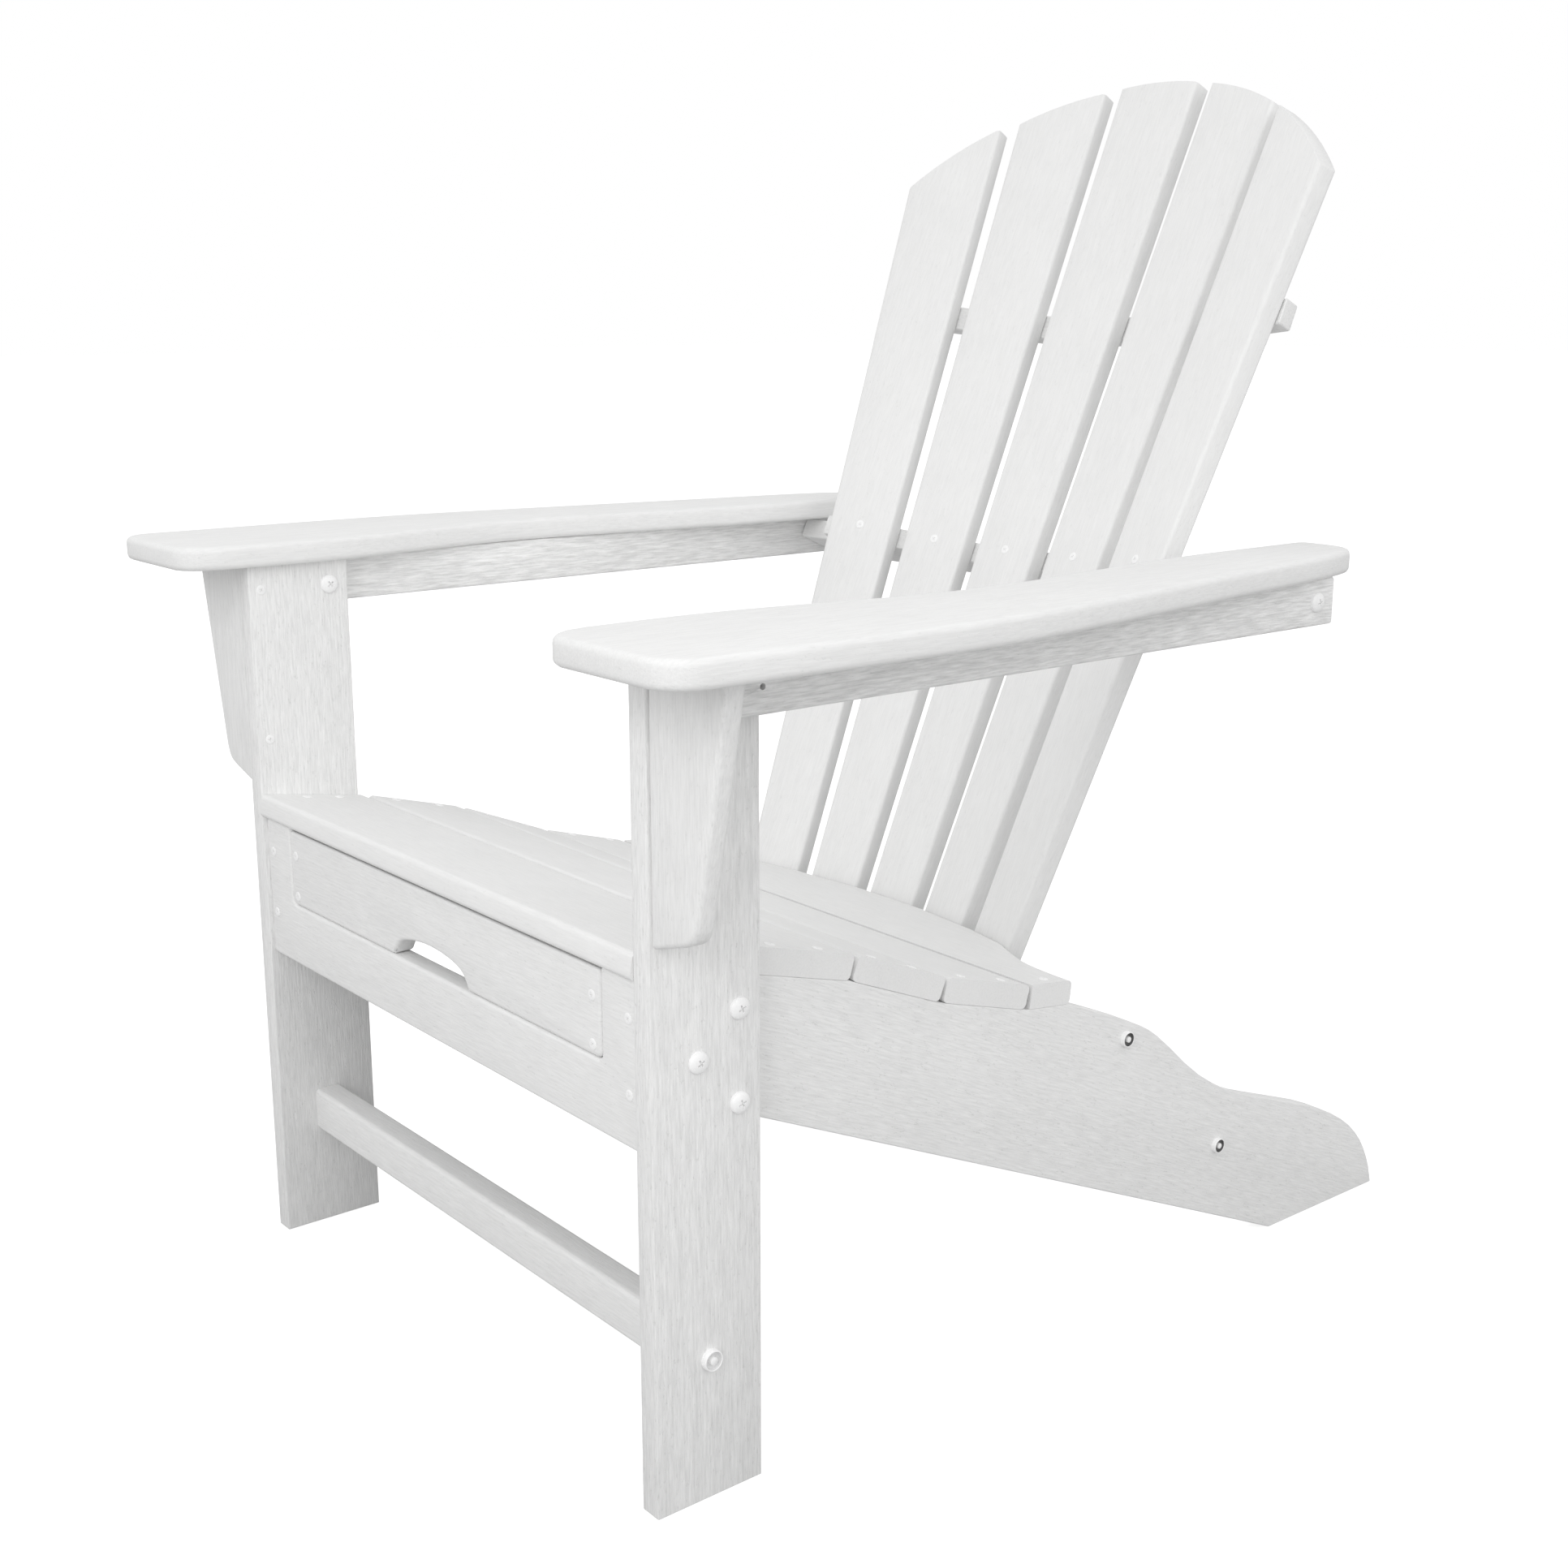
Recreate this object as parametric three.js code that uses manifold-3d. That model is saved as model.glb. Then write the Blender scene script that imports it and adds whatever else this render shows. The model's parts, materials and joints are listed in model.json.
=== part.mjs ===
// Adirondack chair of plastic lumber, with a footrest that slides out from under the seat.
// Millimetres, +Z up, the chair faces -Y, and X = 0 is its plane of symmetry.
// While it is laid out, Y = 0 is the front edge of the front legs; row() centres it at the end.

import * as THREE from 'three';
import { mergeVertices } from 'three/addons/utils/BufferGeometryUtils.js';
import Module from 'manifold-3d';

const wasm = await Module();
wasm.setup();

// ---- driving dimensions -------------------------------------------------------------------

const GAP = 0.15;                // between pieces that are screwed or bolted together
const RUN_GAP = 0.6;             // between the footrest and what it slides past

const SEAT_WIDTH = 544;          // between the inner faces of the front legs
const LEG_THICK = 18;
const LEG_DEPTH = 88.9;
const ARM_UNDERSIDE = 589.5;
const BOARD = 19;                // seat, back, arm and footrest boards
const SLAT_WIDTH = 92;
const SLOT = 2.4;                // between neighbouring seat boards, at their closest
const NOSE_WIDTH = 97;           // of the front seat board
const SEAT_BREAK = [92.8, 364];  // underside of the seat where its first two boards meet
const SEAT_ANGLES = [9, 15.3, 22.4, 16.1, 7];

const RAIL_THICK = 34.6;
const RAIL_TALL = 37.5;
const RAIL_PAST_BOLT = 22.5;     // from its rear bolt to its rear end
const ARM_FRONT = -59;
const ARM_PAST_RAIL = 42;
const CORBEL_FRONT = 1;
const CORBEL_TALL = 185.5;
const CORBEL_THICK = 16;

const STRINGER_THICK = 18;
const STRINGER_FRONT_Z = 259;
const FOOT_REAR = 831;

const APRON_FRONT = 3;
const APRON_THICK = 18;
const APRON_SIDE = 42.8;         // of the apron, on each side of its opening
const OPENING_CORNER = 6;

const STRETCHER = { front: 33.2, deep: 23.6, bottom: 87.5, tall: 37.5 };
const BRACE = { middle: [599.3, 101], deep: 19, tall: 66 };

const BACK_TILT = 24;            // degrees back from upright
const BACK_PIVOT = [478.5, 226]; // the bolt that carries the back; the back is laid out from it
const BACK_TOP = 825;            // crown above the pivot, along the back
const BACK_BOTTOM = -23;
const BACK_TOP_RADIUS = 318;
const TOP_STRIP = { height: 585.4, tall: 22, deep: 16.5, end: 237 };
const MIDDLE_REAR = 26;          // rear edge of the middle support, behind the pivot
const BOTTOM_REAR = 32.8;
const BEHIND_BACK = 0.22;         // between the back boards and the supports behind them
const ARM_TO_SUPPORT = 1.7;      // under the arm, over the middle support's upper corner

const SLIDE_TILT = 16;           // the footrest slides forward and up at this angle
const TRAVEL = 270;
const UNDER_SEAT = 5.4;          // clear space between the seat and the footrest, at the apron
const RUNNER_TALL = 34;
const REST_BOARDS = 4;
const REST_WIDTH = 88.9;
const REST_SLOT = 4;

const HALF = SEAT_WIDTH / 2;
const LEG_OUT = HALF + LEG_THICK;
const STRINGER_OUT = HALF - GAP;
const STRINGER_IN = STRINGER_OUT - STRINGER_THICK;
const APRON_REAR = APRON_FRONT + APRON_THICK;
const RAIL_IN = LEG_OUT + GAP;
const RAIL_OUT = RAIL_IN + RAIL_THICK;
const RAIL_BOTTOM = ARM_UNDERSIDE - RAIL_TALL;

// ---- materials ----------------------------------------------------------------------------

const lumber = new THREE.MeshStandardMaterial({ color: 0xf2f2f0, roughness: 0.55 });
lumber.name = 'white_lumber';
const steel = new THREE.MeshStandardMaterial({ color: 0xf4f4f2, roughness: 0.35, metalness: 0.3 });
steel.name = 'white_painted_steel';

// ---- solid helpers ------------------------------------------------------------------------

const rad = (degrees) => degrees * Math.PI / 180;

function toSolid(geometry) {
  const plain = geometry.clone();
  plain.deleteAttribute('normal');
  plain.deleteAttribute('uv');
  const welded = mergeVertices(plain, 1e-4);
  return new wasm.Manifold(new wasm.Mesh({
    numProp: 3,
    vertProperties: new Float32Array(welded.attributes.position.array),
    triVerts: new Uint32Array(welded.index.array),
  }));
}

function toGeometry(solid) {
  const mesh = solid.getMesh();
  const geometry = new THREE.BufferGeometry();
  const points = new Float32Array(mesh.vertProperties);
  geometry.setAttribute('position', new THREE.BufferAttribute(points, 3));
  geometry.setIndex(new THREE.BufferAttribute(new Uint32Array(mesh.triVerts), 1));
  return geometry;
}

function cut(geometry, ...cutters) {
  let solid = toSolid(geometry);
  for (const cutter of cutters) {
    solid = solid.subtract(toSolid(cutter));
  }
  return toGeometry(solid);
}

function shapeOf(points, holes = []) {
  const shape = new THREE.Shape(points.map(([x, y]) => new THREE.Vector2(x, y)));
  shape.holes = holes;
  return shape;
}

function extrude(points, depth) {
  const settings = { depth, bevelEnabled: false, steps: 1, curveSegments: 8 };
  return new THREE.ExtrudeGeometry(shapeOf(points), settings);
}

// A board whose side outline is (y, z) points, from x = from to x = to.
function sideBoard(points, from, to) {
  const geometry = extrude(points, to - from);
  const turn = new THREE.Matrix4().makeBasis(
    new THREE.Vector3(0, 1, 0),
    new THREE.Vector3(0, 0, 1),
    new THREE.Vector3(1, 0, 0),
  );
  return geometry.applyMatrix4(turn).translate(from, 0, 0);
}

// A board whose front outline is (x, z) points, from y = from to y = to.
function frontBoard(points, from, to) {
  return extrude(points, to - from).rotateX(Math.PI / 2).translate(0, to, 0);
}

// A board whose plan outline is (x, y) points, from z = from to z = to.
function planBoard(points, from, to) {
  return extrude(points, to - from).translate(0, 0, from);
}

function block(x0, x1, y0, y1, z0, z1) {
  const geometry = new THREE.BoxGeometry(x1 - x0, y1 - y0, z1 - z0);
  return geometry.translate((x0 + x1) / 2, (y0 + y1) / 2, (z0 + z1) / 2);
}

function mirrored(geometry) {
  const copy = geometry.clone().scale(-1, 1, 1);
  const plain = copy.index ? copy : mergeVertices(copy);
  const index = plain.index.array;
  for (let i = 0; i < index.length; i += 3) {
    const swap = index[i + 1];
    index[i + 1] = index[i + 2];
    index[i + 2] = swap;
  }
  return plain;
}

// Points of a smooth line through a few stations.
function smooth(stations, count) {
  const curve = new THREE.SplineCurve(stations.map(([x, y]) => new THREE.Vector2(x, y)));
  return curve.getPoints(count).map((p) => [p.x, p.y]);
}

// Points of an arc about (x, y) from one angle to another, in degrees.
function arc(x, y, radius, from, to, count) {
  const points = [];
  for (let i = 0; i <= count; i += 1) {
    const angle = rad(from + (to - from) * i / count);
    points.push([x + radius * Math.cos(angle), y + radius * Math.sin(angle)]);
  }
  return points;
}

// The mirror image of a half outline, run back the other way, to close a symmetric board.
const reflected = (points) => points.map(([x, y]) => [-x, y]).reverse();

// ---- assembly -----------------------------------------------------------------------------

const chair = new THREE.Group();
chair.name = 'adirondack_chair';
const middleY = (ARM_FRONT + FOOT_REAR) / 2;

// Centre the row on its own box in plan.
function row(name, geometry, material = lumber) {
  const placed = geometry.clone().translate(0, -middleY, 0);
  placed.computeVertexNormals();
  const mesh = new THREE.Mesh(placed, material);
  mesh.name = name;
  chair.add(mesh);
}

// The same piece on both sides: the left one is at +X, as the sitter sees it.
function pair(name, geometry, material) {
  row(`${name}_left`, geometry, material);
  row(`${name}_right`, mirrored(geometry), material);
}

// ---- back frame: x, depth behind the pivot, and height above it along the tilted back --------

function inBack(geometry) {
  return geometry.rotateX(-rad(BACK_TILT)).translate(0, BACK_PIVOT[0], BACK_PIVOT[1]);
}

// A point of the back frame, seen from the side: (y, z).
function backPoint(depth, height) {
  const lean = rad(BACK_TILT);
  return [
    BACK_PIVOT[0] + depth * Math.cos(lean) + height * Math.sin(lean),
    BACK_PIVOT[1] - depth * Math.sin(lean) + height * Math.cos(lean),
  ];
}

// The middle support runs on under the arms, so the arms set how high it is.
const MIDDLE_END_FRONT = -27.2;
const middleTop = (ARM_UNDERSIDE - ARM_TO_SUPPORT - backPoint(MIDDLE_END_FRONT, 0)[1])
  / Math.cos(rad(BACK_TILT));
const [railBoltY, railBoltZ] = backPoint(-12.4, middleTop - BOARD / 2 - 2.2);
const RAIL_REAR = railBoltY + RAIL_PAST_BOLT;
const ARM_REAR = RAIL_REAR + ARM_PAST_RAIL;

// ---- bolts --------------------------------------------------------------------------------

const BOLT_HEAD = 7.7;
const BOLT_HEAD_TALL = 4.2;
const BOLT_SHANK = 3.2;
const BOLT_HOLE = 3.5;
const BOLT_SIDES = 16;

const [backBoltY, backBoltZ] = backPoint(-2, -0.3);
const [braceY, braceZ] = BRACE.middle;
const stretcherMiddle = STRETCHER.front + STRETCHER.deep / 2;

// Where each bolt goes: the face its head sits on, which way it points in, and its reach.
const BOLTS = [
  { name: 'leg_bolt_upper', y: 71.3, z: 350.2, face: LEG_OUT, into: -1, reach: 34 },
  { name: 'leg_bolt_middle', y: 37.3, z: 320.4, face: LEG_OUT, into: -1, reach: 34 },
  { name: 'leg_bolt_lower', y: 71.1, z: 284, face: LEG_OUT, into: -1, reach: 34 },
  { name: 'stretcher_bolt', y: stretcherMiddle, z: 105, face: LEG_OUT, into: -1, reach: 50 },
  { name: 'rail_bolt_front', y: 71.7, z: ARM_UNDERSIDE - 20, face: HALF, into: 1, reach: 40 },
  { name: 'rail_bolt_rear', y: railBoltY, z: railBoltZ, face: RAIL_OUT, into: -1, reach: 62 },
  { name: 'back_bolt', y: backBoltY, z: backBoltZ, face: STRINGER_OUT, into: -1, reach: 44 },
  { name: 'brace_bolt', y: braceY, z: braceZ, face: STRINGER_OUT, into: -1, reach: 44 },
];

function boltSolid({ y, z, face, into, reach }) {
  const dome = [];
  for (let i = 0; i <= 4; i += 1) {
    const angle = rad(90 * i / 4);
    const bulge = 1.4 + (BOLT_HEAD_TALL - 1.4) * Math.sin(angle);
    dome.push(new THREE.Vector2(BOLT_HEAD * Math.cos(angle), bulge));
  }
  dome[4].x = 0;
  const profile = [
    new THREE.Vector2(0, -reach),
    new THREE.Vector2(BOLT_SHANK, -reach),
    new THREE.Vector2(BOLT_SHANK, GAP),
    new THREE.Vector2(BOLT_HEAD, GAP),
    ...dome,
  ];
  return new THREE.LatheGeometry(profile, BOLT_SIDES)
    .rotateZ(into < 0 ? -Math.PI / 2 : Math.PI / 2)
    .translate(face, y, z);
}

function boltHole({ y, z }, from, to) {
  return new THREE.CylinderGeometry(BOLT_HOLE, BOLT_HOLE, to - from, BOLT_SIDES)
    .rotateZ(Math.PI / 2)
    .translate((from + to) / 2, y, z);
}

// Holes in a left-hand board for the bolts that are named.
function holes(names, from, to) {
  return BOLTS.filter((bolt) => names.includes(bolt.name))
    .map((bolt) => boltHole(bolt, from, to));
}

// ---- front legs ---------------------------------------------------------------------------

const legPlank = block(HALF, LEG_OUT, 0, LEG_DEPTH, 0, ARM_UNDERSIDE);
const legBolts = ['leg_bolt_upper', 'leg_bolt_middle', 'leg_bolt_lower',
  'stretcher_bolt', 'rail_bolt_front'];
pair('front_leg', cut(legPlank, ...holes(legBolts, HALF - 5, LEG_OUT + 5)));

// ---- seat line: where the underside of each seat board starts, front to rear --------------

const SEAT_PITCH = SLAT_WIDTH + SLOT;
const LAST_RUN = 44;             // of the last board, where it rests on the stringers

const seatLine = [SEAT_BREAK];
for (const angle of SEAT_ANGLES.slice(1)) {
  const [y, z] = seatLine[seatLine.length - 1];
  const run = angle === SEAT_ANGLES[4] ? LAST_RUN : SEAT_PITCH;
  seatLine.push([y + run * Math.cos(rad(angle)), z - run * Math.sin(rad(angle))]);
}
const noseSlope = Math.tan(rad(SEAT_ANGLES[0]));
const seatUnderAt = (y) => SEAT_BREAK[1] + (SEAT_BREAK[0] - y) * noseSlope;

// ---- side stringers: they carry the seat and run down to the rear feet ---------------------

const STRINGER_TOP = smooth([
  [430, 262.5], [488, 236.7], [519, 216.9], [568, 174.3], [618, 144.6],
  [676, 122.3], [736, 99.6], [780.5, 75.1], [808, 50.1], [824, 23], [FOOT_REAR, 0],
], 26);
const stringerOutline = [
  [APRON_REAR + GAP, STRINGER_FRONT_Z],
  [102.3, STRINGER_FRONT_Z],
  [680, 0],
  ...STRINGER_TOP.reverse(),
  ...seatLine.slice().reverse(),
  [APRON_REAR + GAP, seatUnderAt(APRON_REAR + GAP)],
];
const stringerBolts = ['leg_bolt_upper', 'leg_bolt_middle', 'leg_bolt_lower',
  'back_bolt', 'brace_bolt'];
pair('side_stringer', cut(
  sideBoard(stringerOutline, STRINGER_IN, STRINGER_OUT),
  ...holes(stringerBolts, STRINGER_IN - 5, STRINGER_OUT + 5),
));

// ---- seat boards --------------------------------------------------------------------------

// Lays a board whose own frame is (x, along, up) at an angle, from a point on the side view.
const laid = (geometry, angle, [y, z]) => geometry.rotateX(-rad(angle)).translate(0, y, z);

const seatHalf = HALF - GAP;

// How far a board stops short of the line where two slopes meet, so that their tops stay apart.
function shortOf(before, after) {
  return SLOT / 2 + BOARD * Math.tan(rad(Math.max(0, before - after)) / 2);
}

const noseBoard = block(-seatHalf, seatHalf, -NOSE_WIDTH, -SLOT / 2,
  GAP, GAP + BOARD);
row('seat_board_1', laid(noseBoard, SEAT_ANGLES[0], seatLine[0]));
for (let i = 1; i < 4; i += 1) {
  const start = shortOf(SEAT_ANGLES[i - 1], SEAT_ANGLES[i]);
  const end = SEAT_PITCH - shortOf(SEAT_ANGLES[i], SEAT_ANGLES[i + 1]);
  const board = block(-seatHalf, seatHalf, start, end, GAP, GAP + BOARD);
  row(`seat_board_${i + 1}`, laid(board, SEAT_ANGLES[i], seatLine[i - 1]));
}

// ---- back boards --------------------------------------------------------------------------

// Half of the back: centres of each board's front face low and high on it, widths and turn.
const LOW = 55;
const HIGH = 784;
const BACK_BOARDS = [
  { name: 'centre', low: [0, -34.2], high: [0, -34.2], turn: 0, wide: [56, 87.8] },
  { name: 'inner', low: [72.8, -38.8], high: [105.6, -41.3], turn: 8.2, wide: [55.2, 88.9] },
  { name: 'outer', low: [145.6, -51.6], high: [207, -67.1], turn: 14.2, wide: [57, 88.5] },
];

function backAxes({ low, high, turn }) {
  const wide = new THREE.Vector3(Math.cos(rad(turn)), -Math.sin(rad(turn)), 0);
  const rise = new THREE.Vector3(high[0] - low[0], high[1] - low[1], HIGH - LOW);
  const lean = rise.dot(wide);
  const up = rise.clone().addScaledVector(wide, -lean).normalize();
  const length = rise.dot(up);
  const back = new THREE.Vector3().crossVectors(up, wide).normalize();
  return { wide, up, back, lean, length, start: new THREE.Vector3(low[0], low[1], LOW) };
}

// The board's edge on one side (-1 or 1), at a distance up it from the low station.
function edgeAt(board, axes, side, along) {
  const share = along / axes.length;
  const half = (board.wide[0] + (board.wide[1] - board.wide[0]) * share) / 2;
  return side * half + axes.lean * share;
}

// How far up the board the rounded top of the whole back is, across at u.
function topAt(axes, u) {
  let along = axes.length;
  for (let i = 0; i < 12; i += 1) {
    const x = axes.start.x + u * axes.wide.x + along * axes.up.x;
    const drop = BACK_TOP_RADIUS - Math.sqrt(BACK_TOP_RADIUS ** 2 - x * x);
    along = (BACK_TOP - drop - LOW) / axes.up.z;
  }
  return along;
}

function backBoard(board) {
  const axes = backAxes(board);
  const foot = (BACK_BOTTOM - LOW) / axes.up.z;
  const outline = [
    [edgeAt(board, axes, -1, foot), foot],
    [edgeAt(board, axes, 1, foot), foot],
  ];
  const corner = (side) => {
    let u = edgeAt(board, axes, side, axes.length);
    for (let i = 0; i < 12; i += 1) {
      u = edgeAt(board, axes, side, topAt(axes, u));
    }
    return u;
  };
  const from = corner(1);
  const to = corner(-1);
  const steps = 8;
  for (let i = 0; i <= steps; i += 1) {
    const u = from + (to - from) * i / steps;
    outline.push([u, topAt(axes, u)]);
  }
  const turn = new THREE.Matrix4().makeBasis(axes.wide, axes.up, axes.back.clone().negate());
  const geometry = extrude(outline, BOARD).translate(0, 0, -BOARD).applyMatrix4(turn);
  return inBack(geometry.translate(axes.start.x, axes.start.y, axes.start.z));
}

row('back_board_centre', backBoard(BACK_BOARDS[0]));
pair('back_board_inner', backBoard(BACK_BOARDS[1]));
pair('back_board_outer', backBoard(BACK_BOARDS[2]));

// A line across the boards at a height and at a distance behind their front faces: (x, depth)
// points of the half at +X.
function acrossBoards(height, behind) {
  const points = [];
  for (const board of BACK_BOARDS) {
    const axes = backAxes(board);
    const along = (height - LOW) / axes.up.z;
    for (const side of [-1, 1]) {
      const u = edgeAt(board, axes, side, along);
      const point = axes.start.clone()
        .addScaledVector(axes.wide, u)
        .addScaledVector(axes.up, along)
        .addScaledVector(axes.back, behind);
      if (point.x > 0) {
        points.push([point.x, point.y]);
      }
    }
  }
  return points;
}

const rearLine = (height) => acrossBoards(height, BOARD + BEHIND_BACK);

// The front edge of a cross piece, fitted half way up its thickness, with its own ends added.
function frontEdge(height, thick, ends) {
  return [...rearLine(height + thick / 2), ...ends];
}

// A cross piece of the back: its front edge follows the boards and runs on to its ends. Its rear
// edge is straight at a depth, or follows the front edge when it is a strip.
function crossPiece(height, thick, ends, rear) {
  const front = frontEdge(height, thick, ends);
  const lastX = front[front.length - 1][0];
  const rearHalf = rear.straight
    ? [[lastX, rear.straight]]
    : front.slice().reverse().map(([x, depth]) => [x, depth + rear.strip]);
  const right = [...front, ...rearHalf];
  return inBack(planBoard([...right, ...reflected(right)], height, height + thick));
}

const pairOfHoles = (name, from, to) => {
  const near = holes([name], from, to);
  return [...near, ...near.map(mirrored)];
};
const intoStringer = [STRINGER_IN - 30, STRINGER_IN + 5];

const lowEnd = [STRINGER_IN - GAP, rearLine(0).pop()[1]];
row('back_support_bottom', cut(
  crossPiece(-BOARD / 2, BOARD, [lowEnd], { straight: BOTTOM_REAR }),
  ...pairOfHoles('back_bolt', ...intoStringer),
));

const middleX = rearLine(middleTop).pop()[0];
const middleEnds = [
  [middleX + 20, MIDDLE_END_FRONT - 22],
  [middleX + 30, MIDDLE_END_FRONT],
  [LEG_OUT - GAP, MIDDLE_END_FRONT],
];
row('back_support_middle', cut(
  crossPiece(middleTop - BOARD, BOARD, middleEnds, { straight: MIDDLE_REAR }),
  ...pairOfHoles('rail_bolt_rear', LEG_OUT - 30, LEG_OUT + 5),
));

const highDepth = rearLine(TOP_STRIP.height + TOP_STRIP.tall / 2).pop()[1];
row('back_support_top', crossPiece(TOP_STRIP.height, TOP_STRIP.tall,
  [[TOP_STRIP.end, highDepth - 1]], { strip: TOP_STRIP.deep }));

// ---- last seat board: its rear edge follows the front of the back ---------------------------

// Half of the rear edge: x, and how far behind the board's own start.
const LAST_EDGE = [
  [0, 118], [60, 116], [112, 102], [152, 85], [195, 62.2], [222, 51.7], [250, 47.7],
  [seatHalf, LAST_RUN + 2.7],
];
const SEAT_REAR_GAP = 1;
const lastTilt = rad(SEAT_ANGLES[4]);
const lastHalf = smooth(LAST_EDGE, 22).map(([x, run]) => [x, run / Math.cos(lastTilt)]);
const lastStart = shortOf(SEAT_ANGLES[3], SEAT_ANGLES[4]);
const lastSide = [[seatHalf, lastStart], ...lastHalf.slice().reverse()];
const lastOutline = [...lastSide, ...reflected(lastSide).slice(1)];
const seatRear = acrossBoards(LOW, -SEAT_REAR_GAP);
seatRear.push([seatRear[seatRear.length - 1][0] + 2, 75]);
const behindSeat = inBack(planBoard([...seatRear, ...reflected(seatRear)], -5, 120));
const lastBoard = planBoard(lastOutline, GAP, GAP + BOARD);
row('seat_board_5', cut(laid(lastBoard, SEAT_ANGLES[4], seatLine[3]), behindSeat));

// ---- apron, with the opening for the footrest -----------------------------------------------

const openingHalf = HALF - APRON_SIDE;
const slideStart = [APRON_REAR, seatUnderAt(APRON_REAR) - UNDER_SEAT];
const openingBottom = slideStart[1] - (BOARD + GAP + RUNNER_TALL) / Math.cos(rad(SLIDE_TILT)) - 3.2;
const apronTop = seatUnderAt(APRON_FRONT) + 2;
const openingLow = openingBottom + OPENING_CORNER;
const openingIn = openingHalf - OPENING_CORNER;
const apronHalf = [
  [HALF - GAP, STRINGER_FRONT_Z + GAP],
  [HALF - GAP, apronTop],
  [openingHalf, apronTop],
  ...arc(openingIn, openingLow, OPENING_CORNER, 0, -90, 5),
];
const apronOutline = [...apronHalf, ...reflected(apronHalf)];
const underNose = laid(
  block(-HALF - 20, HALF + 20, -NOSE_WIDTH - 30, 20, -GAP, 60),
  SEAT_ANGLES[0],
  SEAT_BREAK,
);
row('front_apron', cut(frontBoard(apronOutline, APRON_FRONT, APRON_REAR), underNose));

// ---- stretcher between the feet, and the brace low at the rear -----------------------------

const bar = (half, [y, deep], [z, tall]) => block(-half, half, y, y + deep, z, z + tall);
row('front_stretcher', cut(
  bar(HALF - GAP, [STRETCHER.front, STRETCHER.deep], [STRETCHER.bottom, STRETCHER.tall]),
  ...pairOfHoles('stretcher_bolt', HALF - 36, HALF + 5),
));
const braceFront = braceY - BRACE.deep / 2;
const braceBottom = braceZ - BRACE.tall / 2;
row('rear_brace', cut(
  bar(STRINGER_IN - GAP, [braceFront, BRACE.deep], [braceBottom, BRACE.tall]),
  ...pairOfHoles('brace_bolt', ...intoStringer),
));

// ---- arms, the rails under them and the corbels ---------------------------------------------

pair('arm_rail', cut(
  block(RAIL_IN, RAIL_OUT, CORBEL_FRONT + CORBEL_THICK + GAP, RAIL_REAR, RAIL_BOTTOM, ARM_UNDERSIDE),
  ...holes(['rail_bolt_front'], RAIL_IN - 5, RAIL_IN + 25),
  ...holes(['rail_bolt_rear'], RAIL_IN - 5, RAIL_OUT + 5),
));

// Outlines of the corbel and the arm start from the outer face of the leg.
const fromLeg = (points) => points.map(([x, y]) => [LEG_OUT + x, y]);
const corbelBottom = ARM_UNDERSIDE - CORBEL_TALL;
const corbelOutline = [
  [LEG_OUT + GAP, corbelBottom],
  ...smooth(fromLeg([
    [31, corbelBottom + 9], [39.5, corbelBottom + 12], [45.5, corbelBottom + 17],
    [49.2, corbelBottom + 26],
  ]), 6),
  ...fromLeg([[82, ARM_UNDERSIDE]]),
  [LEG_OUT + GAP, ARM_UNDERSIDE],
];
pair('corbel', frontBoard(corbelOutline, CORBEL_FRONT, CORBEL_FRONT + CORBEL_THICK));

// The arm's edges: x from the leg, and the distance behind the arm's front, drawn for a length
// of 739 and stretched to the real one.
const stretch = (ARM_REAR - ARM_FRONT) / 739;
const armLine = (points) => fromLeg(points.map(([x, run]) => [x, ARM_FRONT + run * stretch]));
const ARM_OUTER = [
  [108.5, 30], [109.5, 116], [110, 206], [107, 276], [96, 356], [81, 446],
  [69, 516], [60, 571], [52, 626], [43, 676], [36, 704],
];
const ARM_TAIL = [[32, 717], [24, 729], [11, 737], [-4, 739]];
const ARM_INNER = [
  [-31, 726], [-31, 656], [-30, 596], [-24, 536], [-14, 456], [-6, 396], [-2.5, 341],
  [-4.5, 291], [-11.5, 241], [-22, 188], [-30, 134], [-32, 80], [-31, 36],
];
const ARM_NOSE = [[-28.5, 20], [-22, 9], [-14.5, 3]];
const armOutline = [
  [LEG_OUT - 6, ARM_FRONT],
  ...arc(LEG_OUT + 81, ARM_FRONT + 28, 28, -90, -12, 6),
  ...smooth(armLine(ARM_OUTER), 26),
  ...smooth(armLine(ARM_TAIL), 6),
  ...arc(LEG_OUT - 20, ARM_REAR - 11, 11, 90, 170, 4),
  ...smooth(armLine(ARM_INNER), 26),
  ...smooth(armLine(ARM_NOSE), 4),
];
pair('armrest', planBoard(armOutline, ARM_UNDERSIDE + GAP, ARM_UNDERSIDE + GAP + BOARD));

// ---- footrest frame: x, distance down the slide, and height above it ------------------------

const inSlide = (geometry) => laid(geometry, SLIDE_TILT, slideStart);
const RUNNER_OUT = openingHalf - 3.2;
const RUNNER_THICK = BOARD;
const REST_PITCH = REST_WIDTH + REST_SLOT;
const REST_FIRST = BOARD * Math.tan(rad(SLIDE_TILT)) + 0.95;
const REST_LENGTH = REST_FIRST + (REST_BOARDS - 1) * REST_PITCH + REST_WIDTH;
const runnerTop = -BOARD - GAP;
const runnerBottom = runnerTop - RUNNER_TALL;
const GROOVE_DEEP = 9;
const GROOVE_TALL = 13;
const grooveMiddle = (runnerTop + runnerBottom) / 2;
const GUIDE_FRONT = 16;           // how far down the slide the guide and its groove start

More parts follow.
